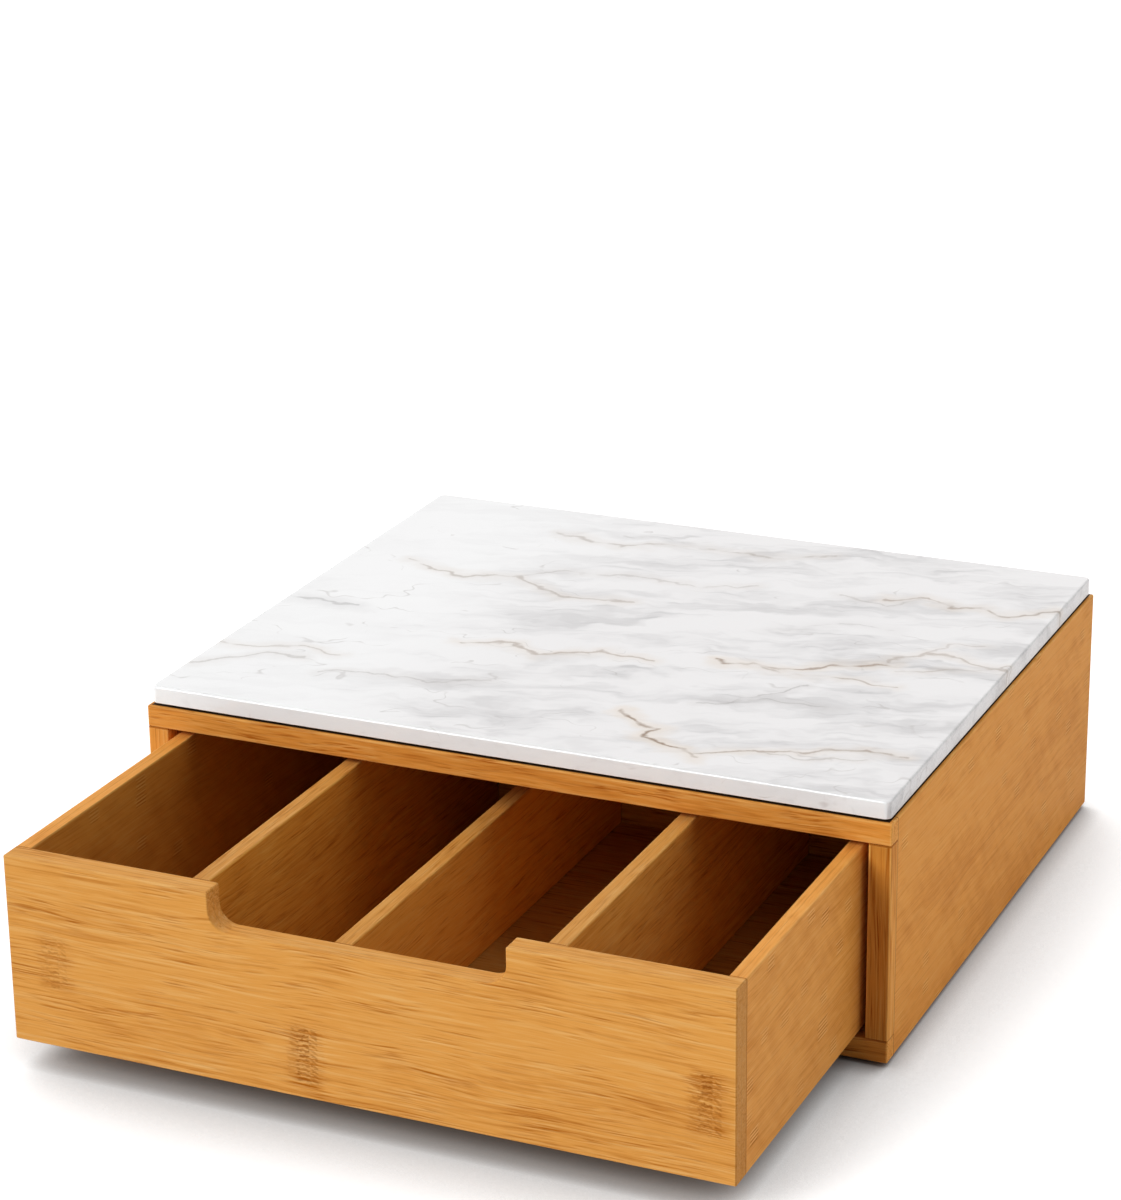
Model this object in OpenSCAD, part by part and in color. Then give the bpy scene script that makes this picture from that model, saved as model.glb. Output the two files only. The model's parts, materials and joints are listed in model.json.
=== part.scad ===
// Countertop drawer box for coffee capsules and pods.
// A wooden case with a face frame, a stone top and one divided drawer that slides straight out.
// +Z is up and the drawer opens towards -Y. The origin is on the surface that the feet stand on,
// under the middle of the whole box with its drawer pulled out by drawer_pull.

/* [Case] */
// Width of the wooden case
case_w = 350; // [300:1:420]
// Depth of the wooden case from the face of the rails to the back
case_d = 300; // [250:1:380]
// Height of the wooden case without its feet
case_h = 109; // [90:0.5:150]
// Thickness of the side boards
side_t = 10; // [9:0.5:14]
// Thickness of the top and bottom boards
board_t = 10; // [9:0.5:14]
// Thickness of the back panel
back_panel_t = 5; // [4:0.5:8]
// How far the back panel reaches into the boards around it
rebate_w = 7; // [6.5:0.5:7.5]

/* [Face frame] */
// Thickness of the face frame from front to back
frame_t = 8; // [6:0.5:14]
// Height of the top and bottom rails
rail_h = 10; // [9:0.5:16]
// Width of the two stiles
stile_w = 10; // [9:0.5:16]

/* [Stone slab] */
// Thickness of the slab
slab_t = 8; // [6:0.5:20]
// How far the slab lies inside the outline of the case
slab_inset = 1.5; // [0:0.5:10]
// Radius of the slab's upright corners
slab_corner_r = 3; // [0.5:0.5:6]
// Thickness of the pads between slab and case
slab_pad_t = 1; // [0.5:0.1:3]
// Diameter of those pads
slab_pad_d = 14; // [8:1:30]
// Distance of the pads from the outline of the slab
slab_pad_inset = 22; // [18:1:60]

/* [Feet] */
// Height of the feet
foot_h = 2; // [1:0.5:12]
// Diameter of the feet
foot_d = 16; // [10:1:30]
// Distance of each foot's centre from the outline of the case
foot_inset = 20; // [16:1:50]

/* [Drawer] */
// How far the drawer stands out of the case as drawn
drawer_pull = 140; // [20:1:150]
// Gap between each side of the drawer and the opening
drawer_side_gap = 3; // [1:0.5:5]
// Gap between the top of the drawer and the opening
drawer_top_gap = 3; // [1:0.5:5]
// Thickness of the drawer front
drawer_front_t = 10; // [9:0.5:16]
// Thickness of the drawer sides
drawer_side_t = 7.5; // [7:0.5:12]
// Thickness of the drawer back
drawer_back_t = 8; // [7:0.5:12]
// Thickness of the drawer's bottom panel
drawer_bottom_t = 4; // [3:0.5:6]
// Height of the bottom panel's underside above the drawer's lower edge
bottom_lift = 6; // [4:0.5:10]
// Depth of the grooves that hold the bottom panel
groove_d = 3; // [2:0.5:4]

/* [Finger cutout] */
// Width of the cutout at the top edge of the drawer front
cutout_w = 132; // [80:1:136]
// Depth of the cutout
cutout_depth = 17; // [12:0.5:24]
// Radius of the cutout's two lower corners
cutout_r = 9; // [4:0.5:11]
// Radius that eases the cutout's two upper corners
cutout_ease_r = 1; // [0.5:0.5:2]

/* [Compartments] */
// Thickness of the dividers
divider_t = 8; // [7:0.5:10]
// Clear width of the first compartment from the left
bay_1_w = 76; // [40:1:80]
// Clear width of the second compartment
bay_2_w = 56; // [40:1:70]
// Clear width of the third compartment
bay_3_w = 86; // [50:1:90]

/* [Running gear] */
// Height of the glide strips above the floor of the opening
glide_h = 1.7; // [1:0.1:3]
// Width of the glide strips
glide_w = 10; // [8:0.5:12]
// Distance of the glide strips' front ends from the face of the case
glide_start = 14; // [14:1:40]
// Gap between the glide strips and the drawer
glide_gap = 0.3; // [0.1:0.1:0.8]
// Thickness of the soft pads that the closed drawer comes up against
bumper_t = 3; // [2:0.5:6]
// Diameter of those pads
bumper_d = 12; // [8:1:20]
// Distance of those pads from the sides of the drawer
bumper_inset = 40; // [20:1:80]
// Gap between those pads and the closed drawer
bumper_gap = 0.3; // [0.1:0.1:1]

/* [Drawer stop] */
// Width of the stop block
stop_w = 40; // [30:1:80]
// Thickness of the stop block from front to back
stop_t = 12; // [10:0.5:20]
// How far the stop block reaches below the top of the drawer back
stop_bite = 5; // [3:0.5:8]
// Distance of the stop block from the face of the case
stop_setback = 60; // [30:1:80]
// Depth of the stop block's screws in the top board
stop_screw_grip = 6; // [4:0.5:7]

/* [Joinery] */
// Diameter of the case dowels
case_dowel_d = 5; // [4:0.5:6]
// Number of case dowels along each joint
case_dowel_count = 3; // [2:1:5]
// Distance of the outer dowels from the ends of each case joint
case_dowel_inset = 34; // [30:1:60]
// Diameter of the drawer, divider and frame dowels
thin_dowel_d = 4; // [3:0.5:4]
// Depth of each dowel in the face of a board
dowel_in_face = 5; // [4:0.5:5.5]
// Depth of each dowel in the end of a board
dowel_in_end = 15; // [10:1:20]
// Gap between a dowel and its hole, all round
dowel_fit = 0.1; // [0.05:0.05:0.2]
// Empty length at each end of a dowel's hole
dowel_end_gap = 0.5; // [0.3:0.1:1]
// Number of dowels in each corner joint of the drawer
drawer_dowel_count = 3; // [2:1:4]
// Distance of the lowest drawer dowels above the top of the bottom panel
dowel_low = 10; // [6:1:16]
// Distance of the highest drawer dowels below the edge of the board
dowel_high = 12; // [8:1:20]

/* [Screws] */
// Thread diameter of the screws
screw_d = 2.6; // [2:0.1:3]
// Diameter of the screw heads
screw_head_d = 5.2; // [4.6:0.1:5.6]
// Length of the back panel's screws
panel_screw_l = 14; // [12:1:18]
// Gap between a screw and its hole, all round
screw_fit = 0.1; // [0.05:0.05:0.2]
// Width of the cross slot in the screw heads
slot_w = 0.7; // [0.5:0.1:1]
// Number of screws along the top and along the bottom of the back panel
panel_screw_count = 4; // [2:1:6]
// Distance of the outer screws from the panel's upright edges
panel_screw_inset = 28; // [20:1:60]
// Gap around the back panel in its rebate
panel_fit = 0.2; // [0.1:0.1:0.5]

/* [Hidden] */
$fn = 48;

LEFT = -1;
RIGHT = 1;
bore_over = 1;           // how far a cutting shape runs past the surface it opens
dowel_chamfer = 0.6;     // bevel on the ends of every dowel
pad_chamfer = 0.3;       // bevel on the rims of pads, bumpers and feet
groove_fit = 0.1;        // gap above the bottom panel in its groove
bottom_fit = 0.3;        // gap between the bottom panel's edges and the groove floors
slot_len_share = 0.6;    // length of the screw slots as a share of the head's diameter
slot_depth_share = 0.55; // depth of the screw slots as a share of the head's height
tip_share = 0.25;        // pointed share of a screw's length
screw_end_gap = 0.5;     // empty length under the tip of a screw

// case
case_y0 = (drawer_pull - case_d)/2;
case_y1 = case_y0 + case_d;
case_z0 = foot_h;
case_z1 = case_z0 + case_h;
box_y0 = case_y0 + frame_t;
box_x = case_w/2 - side_t;
box_z0 = case_z0 + board_t;
box_z1 = case_z1 - board_t;
stile_z0 = case_z0 + rail_h;
stile_z1 = case_z1 - rail_h;
panel_y0 = case_y1 - back_panel_t;

// drawer
opening_x = case_w/2 - max(stile_w, side_t);
opening_z0 = case_z0 + max(rail_h, board_t);
opening_z1 = case_z1 - max(rail_h, board_t);
drawer_x = opening_x - drawer_side_gap;
drawer_z0 = opening_z0 + glide_h + glide_gap;
drawer_z1 = opening_z1 - drawer_top_gap;
drawer_y0 = case_y0 - drawer_pull;
drawer_y1 = drawer_y0 + case_d - back_panel_t - bumper_t - bumper_gap;
front_y1 = drawer_y0 + drawer_front_t;
back_y0 = drawer_y1 - drawer_back_t;
bay_x = drawer_x - drawer_side_t;
bottom_z0 = drawer_z0 + bottom_lift;
bottom_z1 = bottom_z0 + drawer_bottom_t;
cutout_z = drawer_z1 - cutout_depth;
divider_1_x = -bay_x + bay_1_w + divider_t/2;
divider_2_x = divider_1_x + divider_t + bay_2_w;
divider_3_x = divider_2_x + divider_t + bay_3_w;
stop_z0 = drawer_z1 - stop_bite;
stop_screw_l = box_z1 - stop_z0 + stop_screw_grip;

// stone slab
slab_z0 = case_z1 + slab_pad_t;
slab_x = case_w/2 - slab_inset;
slab_y0 = case_y0 + slab_inset;
slab_y1 = case_y1 - slab_inset;

// joinery
screw_head_h = (screw_head_d - screw_d)/2;
case_dowel_y = spread(box_y0 + case_dowel_inset, panel_y0 - case_dowel_inset, case_dowel_count);
side_dowel_z = spread(bottom_z1 + dowel_low, drawer_z1 - dowel_high, drawer_dowel_count);
panel_screw_in = (rebate_w - panel_fit)/2;
panel_x = box_x + rebate_w - panel_fit;
panel_z0 = box_z0 - rebate_w + panel_fit;
panel_z1 = box_z1 + rebate_w - panel_fit;
panel_screw_x = spread(-panel_x + panel_screw_inset, panel_x - panel_screw_inset, panel_screw_count);

// a number of places spread evenly from one end to the other
function spread(from, to, count) = [for (i = [0:count - 1]) from + (to - from)*i/(count - 1)];

// heights of the two dowels at each end of a divider whose top is at z1
function divider_dowel_z(z1) = [bottom_z1 + dowel_low, z1 - dowel_high];

// a board between two opposite corners
module board(low, high) {
    translate(low) cube(high - low);
}

// a dowel along Z: below zero it sits in a board's face, above zero in a board's end
module dowel(d) {
    r = d/2;
    rotate_extrude()
        polygon([[0, -dowel_in_face], [r - dowel_chamfer, -dowel_in_face],
            [r, dowel_chamfer - dowel_in_face], [r, dowel_in_end - dowel_chamfer],
            [r - dowel_chamfer, dowel_in_end], [0, dowel_in_end]]);
}

module dowel_hole(d) {
    translate([0, 0, -dowel_in_face - dowel_end_gap])
        cylinder(d = d + 2*dowel_fit, h = dowel_in_face + dowel_in_end + 2*dowel_end_gap);
}

// a countersunk screw along Z with the face of its head at zero
module screw(l) {
    r = screw_d/2;
    tip_z = -l*(1 - tip_share);
    color("lightgray") difference() {
        rotate_extrude()
            polygon([[0, 0], [screw_head_d/2, 0], [r, -screw_head_h], [r, tip_z], [0, -l]]);
        for (turn = [0, 90])
            rotate(turn)
                cube([screw_head_d*slot_len_share, slot_w, 2*screw_head_h*slot_depth_share], center = true);
    }
}

module screw_hole(l) {
    r = screw_d/2 + screw_fit;
    head_r = screw_head_d/2 + screw_fit;
    depth = l + screw_end_gap;
    rotate_extrude()
        polygon([[0, bore_over], [head_r, bore_over], [head_r, 0], [r, -(head_r - r)],
            [r, -depth], [0, -depth]]);
}

// a round pad along Z with a bevelled free rim
module pad(d, t) {
    rotate_extrude()
        polygon([[0, 0], [d/2, 0], [d/2, t - pad_chamfer], [d/2 - pad_chamfer, t], [0, t]]);
}

// places, each shared by the pieces that are joined there
module at_case_dowels(side) {
    for (y = case_dowel_y, z = [case_z0 + board_t/2, case_z1 - board_t/2])
        translate([side*box_x, y, z]) rotate([0, -90*side, 0]) children();
}

module at_frame_dowels(side) {
    x = side*(case_w/2 - stile_w/2);
    translate([x, case_y0 + frame_t/2, stile_z0]) children();
    translate([x, case_y0 + frame_t/2, stile_z1]) rotate([180, 0, 0]) children();
}

module at_front_dowels(side) {
    for (z = side_dowel_z)
        translate([side*(drawer_x - drawer_side_t/2), front_y1, z]) rotate([-90, 0, 0]) children();
}

module at_back_dowels(side) {
    for (z = side_dowel_z)
        translate([side*bay_x, (back_y0 + drawer_y1)/2, z]) rotate([0, -90*side, 0]) children();
}

module at_divider_dowels(x, z1) {
    for (z = divider_dowel_z(z1)) {
        translate([x, front_y1, z]) rotate([-90, 0, 0]) children();
        translate([x, back_y0, z]) rotate([90, 0, 0]) children();
    }
}

module at_all_divider_dowels() {
    at_divider_dowels(divider_1_x, drawer_z1) children();
    at_divider_dowels(divider_2_x, cutout_z) children();
    at_divider_dowels(divider_3_x, drawer_z1) children();
}

module at_panel_screws() {
    for (x = panel_screw_x, z = [box_z0 - panel_screw_in, box_z1 + panel_screw_in])
        translate([x, case_y1, z]) rotate([-90, 0, 0]) children();
    for (side = [LEFT, RIGHT])
        translate([side*(box_x + panel_screw_in), case_y1, (box_z0 + box_z1)/2])
            rotate([-90, 0, 0]) children();
}

module at_stop_screws() {
    for (side = [LEFT, RIGHT])
        translate([side*stop_w/4, case_y0 + stop_setback + stop_t/2, stop_z0])
            rotate([180, 0, 0]) children();
}

// the recess that the back panel lies in
module panel_recess() {
    board([-box_x - rebate_w, panel_y0, box_z0 - rebate_w],
        [box_x + rebate_w, case_y1 + bore_over, box_z1 + rebate_w]);
}

// the groove that the drawer's bottom panel lies in
module bottom_groove() {
    board([-bay_x - groove_d, front_y1 - groove_d, bottom_z0],
        [bay_x + groove_d, back_y0 + groove_d, bottom_z1 + groove_fit]);
}

// outline of the finger cutout, seen from the front
module cutout_outline() {
    half = cutout_w/2;
    translate([-half, cutout_z + cutout_r]) square([cutout_w, cutout_depth - cutout_r + bore_over]);
    translate([cutout_r - half, cutout_z]) square([cutout_w - 2*cutout_r, cutout_depth + bore_over]);
    for (side = [LEFT, RIGHT]) {
        translate([side*(half - cutout_r), cutout_z + cutout_r]) circle(cutout_r);
        translate([side*(half + cutout_ease_r), drawer_z1 - cutout_ease_r]) difference() {
            translate([side*-cutout_ease_r, cutout_ease_r])
                square(2*cutout_ease_r, center = true);
            circle(cutout_ease_r);
        }
    }
}

// case
module case_side(side) {
    x = [side*box_x, side*case_w/2];
    color("peru") difference() {
        board([min(x), box_y0, case_z0], [max(x), case_y1, case_z1]);
        panel_recess();
        at_case_dowels(side) dowel_hole(case_dowel_d);
        at_panel_screws() screw_hole(panel_screw_l);
    }
}

module case_left_side() {
    case_side(LEFT);
}

module case_right_side() {
    case_side(RIGHT);
}

module case_board(z0) {
    color("peru") difference() {
        board([-box_x, box_y0, z0], [box_x, case_y1, z0 + board_t]);
        panel_recess();
        for (side = [LEFT, RIGHT])
            at_case_dowels(side) dowel_hole(case_dowel_d);
        at_panel_screws() screw_hole(panel_screw_l);
        at_stop_screws() screw_hole(stop_screw_l);
    }
}

module case_top_board() {
    case_board(box_z1);
}

module case_bottom_board() {
    case_board(case_z0);
}

module case_back_panel() {
    color("burlywood") difference() {
        board([-panel_x, panel_y0, panel_z0], [panel_x, case_y1, panel_z1]);
        at_panel_screws() screw_hole(panel_screw_l);
    }
}

module front_rail(z0) {
    color("goldenrod") difference() {
        board([-case_w/2, case_y0, z0], [case_w/2, box_y0, z0 + rail_h]);
        for (side = [LEFT, RIGHT])
            at_frame_dowels(side) dowel_hole(thin_dowel_d);
    }
}

module front_top_rail() {
    front_rail(stile_z1);
}

module front_bottom_rail() {
    front_rail(case_z0);
}

module front_stile(side) {
    x = [side*(case_w/2 - stile_w), side*case_w/2];
    color("goldenrod") difference() {
        board([min(x), case_y0, stile_z0], [max(x), box_y0, stile_z1]);
        at_frame_dowels(side) dowel_hole(thin_dowel_d);
    }
}

module front_left_stile() {
    front_stile(LEFT);
}

module front_right_stile() {
    front_stile(RIGHT);
}

module stone_slab() {
    color("whitesmoke") translate([0, 0, slab_z0]) linear_extrude(slab_t) {
        translate([-slab_x + slab_corner_r, slab_y0])
            square([2*(slab_x - slab_corner_r), slab_y1 - slab_y0]);
        translate([-slab_x, slab_y0 + slab_corner_r])
            square([2*slab_x, slab_y1 - slab_y0 - 2*slab_corner_r]);
        for (x = [slab_corner_r - slab_x, slab_x - slab_corner_r])
            for (y = [slab_y0 + slab_corner_r, slab_y1 - slab_corner_r])
                translate([x, y]) circle(slab_corner_r);
    }
}

module slab_pads() {
    reach = slab_x - slab_pad_inset;
    color("gainsboro")
        for (x = [-reach, 0, reach], y = [slab_y0 + slab_pad_inset, slab_y1 - slab_pad_inset])
            translate([x, y, case_z1]) cylinder(d = slab_pad_d, h = slab_pad_t);
}

module feet() {
    reach = case_w/2 - foot_inset;
    color("dimgray")
        for (x = [-reach, reach], y = [case_y0 + foot_inset, case_y1 - foot_inset])
            translate([x, y, foot_h]) rotate([180, 0, 0]) pad(foot_d, foot_h);
}

module glide_strip(side) {
    x = [side*(drawer_x - glide_w), side*drawer_x];
    color("ivory")
        board([min(x), case_y0 + glide_start, box_z0], [max(x), panel_y0, drawer_z0 - glide_gap]);
}

module glide_strip_left() {
    glide_strip(LEFT);
}

module glide_strip_right() {
    glide_strip(RIGHT);
}

module drawer_stop_block() {
    y0 = case_y0 + stop_setback;
    color("burlywood") difference() {
        board([-stop_w/2, y0, stop_z0], [stop_w/2, y0 + stop_t, box_z1]);
        at_stop_screws() screw_hole(stop_screw_l);
    }
}

module stop_block_screws() {
    at_stop_screws() screw(stop_screw_l);
}

module drawer_bumpers() {
    color("gainsboro")
        for (side = [LEFT, RIGHT])
            translate([side*(drawer_x - bumper_inset), panel_y0, (drawer_z0 + drawer_z1)/2])
                rotate([90, 0, 0]) pad(bumper_d, bumper_t);
}

module back_panel_screws() {
    at_panel_screws() screw(panel_screw_l);
}

module case_dowels() {
    color("tan")
        for (side = [LEFT, RIGHT])
            at_case_dowels(side) dowel(case_dowel_d);
}

module frame_dowels() {
    color("tan")
        for (side = [LEFT, RIGHT])
            at_frame_dowels(side) dowel(thin_dowel_d);
}

// drawer
module drawer_front() {
    color("sandybrown") difference() {
        translate([0, front_y1, 0]) rotate([90, 0, 0]) linear_extrude(drawer_front_t) difference() {
            translate([-drawer_x, drawer_z0]) square([2*drawer_x, drawer_z1 - drawer_z0]);
            cutout_outline();
        }
        bottom_groove();
        for (side = [LEFT, RIGHT])
            at_front_dowels(side) dowel_hole(thin_dowel_d);
        at_all_divider_dowels() dowel_hole(thin_dowel_d);
    }
}

module drawer_side(side) {
    x = [side*bay_x, side*drawer_x];
    color("peru") difference() {
        board([min(x), front_y1, drawer_z0], [max(x), drawer_y1, drawer_z1]);
        bottom_groove();
        at_front_dowels(side) dowel_hole(thin_dowel_d);
        at_back_dowels(side) dowel_hole(thin_dowel_d);
    }
}

module drawer_left_side() {
    drawer_side(LEFT);
}

module drawer_right_side() {
    drawer_side(RIGHT);
}

module drawer_back() {
    color("peru") difference() {
        board([-bay_x, back_y0, drawer_z0], [bay_x, drawer_y1, drawer_z1]);
        bottom_groove();
        for (side = [LEFT, RIGHT])
            at_back_dowels(side) dowel_hole(thin_dowel_d);
        at_all_divider_dowels() dowel_hole(thin_dowel_d);
    }
}

module drawer_bottom() {
    x = bay_x + groove_d - bottom_fit;
    color("burlywood")
        board([-x, front_y1 - groove_d + bottom_fit, bottom_z0],
            [x, back_y0 + groove_d - bottom_fit, bottom_z1]);
}

module divider(x, z1) {
    color("sandybrown") difference() {
        board([x - divider_t/2, front_y1, bottom_z1], [x + divider_t/2, back_y0, z1]);
        at_divider_dowels(x, z1) dowel_hole(thin_dowel_d);
    }
}

module divider_left() {
    divider(divider_1_x, drawer_z1);
}

module divider_middle() {
    divider(divider_2_x, cutout_z);
}

module divider_right() {
    divider(divider_3_x, drawer_z1);
}

module drawer_dowels() {
    color("tan")
        for (side = [LEFT, RIGHT]) {
            at_front_dowels(side) dowel(thin_dowel_d);
            at_back_dowels(side) dowel(thin_dowel_d);
        }
}

module divider_dowels() {
    color("tan") at_all_divider_dowels() dowel(thin_dowel_d);
}

case_left_side();
case_right_side();
case_top_board();
case_bottom_board();
case_back_panel();
front_top_rail();
front_bottom_rail();
front_left_stile();
front_right_stile();
stone_slab();
slab_pads();
feet();
glide_strip_left();
glide_strip_right();
drawer_stop_block();
stop_block_screws();
drawer_bumpers();
back_panel_screws();
case_dowels();
frame_dowels();
drawer_front();
drawer_left_side();
drawer_right_side();
drawer_back();
drawer_bottom();
divider_left();
divider_middle();
divider_right();
drawer_dowels();
divider_dowels();
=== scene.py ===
import json
import math
import bmesh
import bpy
from mathutils import Matrix, Vector

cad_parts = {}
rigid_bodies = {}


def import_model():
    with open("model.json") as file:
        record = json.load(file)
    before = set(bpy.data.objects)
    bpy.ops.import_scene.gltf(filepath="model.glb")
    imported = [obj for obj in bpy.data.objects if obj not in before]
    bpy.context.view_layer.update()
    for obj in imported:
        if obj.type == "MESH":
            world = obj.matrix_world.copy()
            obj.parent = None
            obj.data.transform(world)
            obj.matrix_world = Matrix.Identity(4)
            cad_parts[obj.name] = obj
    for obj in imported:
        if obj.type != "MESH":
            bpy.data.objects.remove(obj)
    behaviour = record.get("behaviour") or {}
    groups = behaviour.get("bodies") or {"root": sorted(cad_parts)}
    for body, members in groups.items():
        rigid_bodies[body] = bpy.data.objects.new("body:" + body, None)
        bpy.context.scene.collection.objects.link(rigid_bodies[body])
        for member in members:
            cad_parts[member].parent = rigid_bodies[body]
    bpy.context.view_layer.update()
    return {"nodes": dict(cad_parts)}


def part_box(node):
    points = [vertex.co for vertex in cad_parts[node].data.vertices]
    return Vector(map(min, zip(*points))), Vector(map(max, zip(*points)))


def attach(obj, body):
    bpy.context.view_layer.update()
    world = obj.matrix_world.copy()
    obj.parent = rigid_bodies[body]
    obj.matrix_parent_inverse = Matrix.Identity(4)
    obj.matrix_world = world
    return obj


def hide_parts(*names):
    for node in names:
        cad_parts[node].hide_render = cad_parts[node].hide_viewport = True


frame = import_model()
mm = 0.001
hair = 1e-6  # metres, places closer than this are one
axisNumber = {"x": 0, "y": 1, "z": 2}
bodyOf = {node: piece.parent.name.split(":")[1] for node, piece in frame["nodes"].items()}
print("frame loaded,", len(frame["nodes"]), "nodes")


class Wire:  # a socket that can be written with as a value
    def __init__(self, work, socket):
        self.work, self.socket = work, socket

    def calc(self, operation, *values):
        return self.work.add("ShaderNodeMath", dict(enumerate(values)), operation=operation)

    def __add__(self, other):
        return self.calc("ADD", self, other)

    def __radd__(self, other):
        return self.calc("ADD", other, self)

    def __sub__(self, other):
        return self.calc("SUBTRACT", self, other)

    def __rsub__(self, other):
        return self.calc("SUBTRACT", other, self)

    def __mul__(self, other):
        return self.calc("MULTIPLY", self, other)

    def __rmul__(self, other):
        return self.calc("MULTIPLY", other, self)

    def __truediv__(self, other):
        return self.calc("DIVIDE", self, other)

    def __neg__(self):
        return self.calc("MULTIPLY", self, -1)

    def __abs__(self):
        return self.calc("ABSOLUTE", self)

    def __gt__(self, other):
        return self.calc("GREATER_THAN", self, other)

    def floor(self):
        return self.calc("FLOOR", self)

    def sine(self):
        return self.calc("SINE", self)

    def cosine(self):
        return self.calc("COSINE", self)

    def most(self, other):
        return self.calc("MAXIMUM", self, other)

    def least(self, other):
        return self.calc("MINIMUM", self, other)

    def clip(self):
        return self.work.add("ShaderNodeClamp", {"Value": self})

    def step(self, start, end):  # 0 at start, 1 at end, smooth between them
        return self.work.add("ShaderNodeMapRange", {"Value": self, "From Min": start, "From Max": end},
                             interpolation_type="SMOOTHSTEP", clamp=False)


class NodeWork:
    def __init__(self, tree):
        self.tree = tree
        tree.nodes.clear()

    def add(self, kind, values={}, out=0, **settings):
        node = self.tree.nodes.new(kind)
        for key, setting in settings.items():
            setattr(node, key, setting)
        for key, value in values.items():
            if isinstance(value, Wire):
                self.tree.links.new(value.socket, node.inputs[key])
            else:
                node.inputs[key].default_value = value
        if len(node.outputs):
            return Wire(self, node.outputs[out])

    def blend(self, first, second, factor, mode="MIX"):  # one colour over another
        return self.add("ShaderNodeMix", {0: factor, 6: first, 7: second}, 2, data_type="RGBA",
                        blend_type=mode)

    def point(self, x, y, z):
        return self.add("ShaderNodeCombineXYZ", {0: x, 1: y, 2: z})

    def vector(self, operation, *values, out=0, **named):
        return self.add("ShaderNodeVectorMath", {**dict(enumerate(values)), **named}, out,
                        operation=operation)

    def noise(self, place, detail=2.0, roughness=0.5):
        return self.add("ShaderNodeTexNoise",
                        {"Vector": place, "Scale": 1.0, "Detail": detail, "Roughness": roughness})


def plainName(node):  # drawer_front becomes drawerFront
    first, *others = node.split("_")
    return first + "".join(word.capitalize() for word in others)


def newFinish(name):
    material = bpy.data.materials.new(name)
    material.use_nodes = True
    return material, NodeWork(material.node_tree)


def parted(work, place):  # the x, y and z of a place
    split = work.add("ShaderNodeSeparateXYZ", {0: place}).socket.node
    return [Wire(work, split.outputs[number]) for number in range(3)]


def millimetres(work):  # the object's own coordinates, in mm
    place = work.add("ShaderNodeTexCoord", out="Object")
    return parted(work, work.vector("SCALE", place, Scale=1 / mm))


def closeFinish(work, height, depth, **values):  # height and depth are the bump's
    relief = {"Height": height, "Strength": 1.0, "Distance": depth}
    values["Normal"] = work.add("ShaderNodeBump", relief)
    given = {name.replace("_", " "): value for name, value in values.items()}
    shade = work.add("ShaderNodeBsdfPrincipled", given)
    work.add("ShaderNodeOutputMaterial", {"Surface": shade})


bambooLook = {  # what a board has unless its own look differs
    "middle": (0.890, 0.425, 0.092, 1),
    "dark": (0.500, 0.150, 0.006, 1),
    "light": (0.980, 0.600, 0.215, 1),
    "seam": (0.300, 0.105, 0.020, 1),
    "knot": (0.330, 0.092, 0.004, 1),
    "end": (0.590, 0.235, 0.035, 1),
    "tone": (1.0, 1.0, 1.0, 1),
    "cheek": None,  # another tone for the sides that face left and right: painted shade inside the drawer, the case's own tone on rails and stiles
    "cheekSide": 0,  # 1 for the right one alone, -1 for the left
    "seat": None,  # where the painted shadow under the slab lies: height, half width and front, mm
    # near-black colour of the painted shadow under the slab
    "slabGapShadow": (0.030, 0.016, 0.008, 1),
    "strip": 25.0,  # width of one cane strip, mm
    "shift": 3.0,  # where the first strip starts
    "ply": 0.0,  # thickness of one layer, 0 for a single board
    "seamWide": 0.16,  # half width of the line between two strips
    "glueWide": 0.20,  # half width of the line between two layers
    "streak": 1.0,  # strength of the figure
    "streakLong": 16.0,  # mm
    "streakWide": 0.95,
    "thread": 1.0,  # strength of the threads between the streaks
    "threadLong": 20.0,
    "fine": 1.0,  # strength of the finest fibres
    "mottle": 0.25,  # strength of the soft patches
    "curl": 0.10,  # strength of the soft bands across the grain
    "scars": 0.0,  # strength of the small hatched scars, in lanes half a strip wide
    "scarLong": 62.0,  # length of lane that has one scar
    "knuckles": (),  # the joint scars, each with its place in mm
    "ticks": (),  # single hatched scars, the same
    "endShare": 1.0,  # how strong the end grain's colour is
    "wear": 0.40,  # how much lighter the arrises are: rubbed wear and a painted highlight
    "seed": 0.0,
}


def luckOf(work, number, other):  # one random value for each strip or row
    return work.add("ShaderNodeTexWhiteNoise", {"Vector": work.point(number, other, 0)},
                    noise_dimensions="2D")


# a joint scar's columns of dashes: start and end along the grain, strength, lean
knuckleColumns = [(-8.6, -4.4, 0.45, 0.15), (-4.8, 0.6, 1.0, -0.04), (1.0, 4.4, 0.65, 0.45)]
knuckleRow = 2.2  # mm from dash to dash
smallScar = {"long": 9.0, "share": 0.55, "row": 1.6}  # mm, share of the lane, mm


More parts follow.
